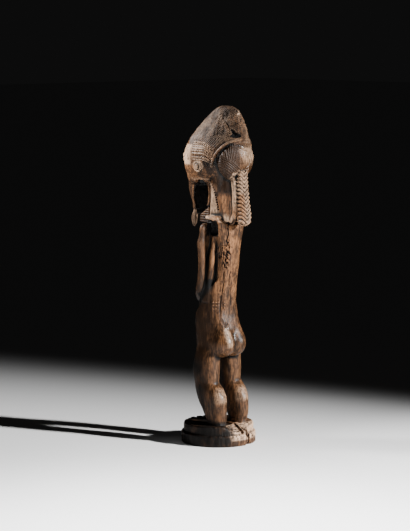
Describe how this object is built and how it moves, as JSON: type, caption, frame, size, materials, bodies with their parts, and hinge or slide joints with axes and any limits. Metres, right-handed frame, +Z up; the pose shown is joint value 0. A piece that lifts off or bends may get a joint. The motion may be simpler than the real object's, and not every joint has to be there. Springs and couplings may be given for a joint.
{
  "type": "baule figure",
  "caption": "Standing wooden figure in Baule style with a crested and braided hairdo, a slim beard, straight arms, bent legs and a round base, carved from one block.",
  "frame": {"origin": "centre of the round base's flat underside, on which the figure stands", "axes": "+Z up along the figure, -Y the way the figure faces, +X its left side"},
  "size_m": [0.1002, 0.115, 0.45],
  "materials": {
    "carved_wood": "dark brown hand-carved hardwood with a worn patina, polished on the bun, buttocks and calves, dry and greyish on the crest"
  },
  "bodies": {
    "root": {"figure": "carved_wood"}
  },
  "joints": []
}
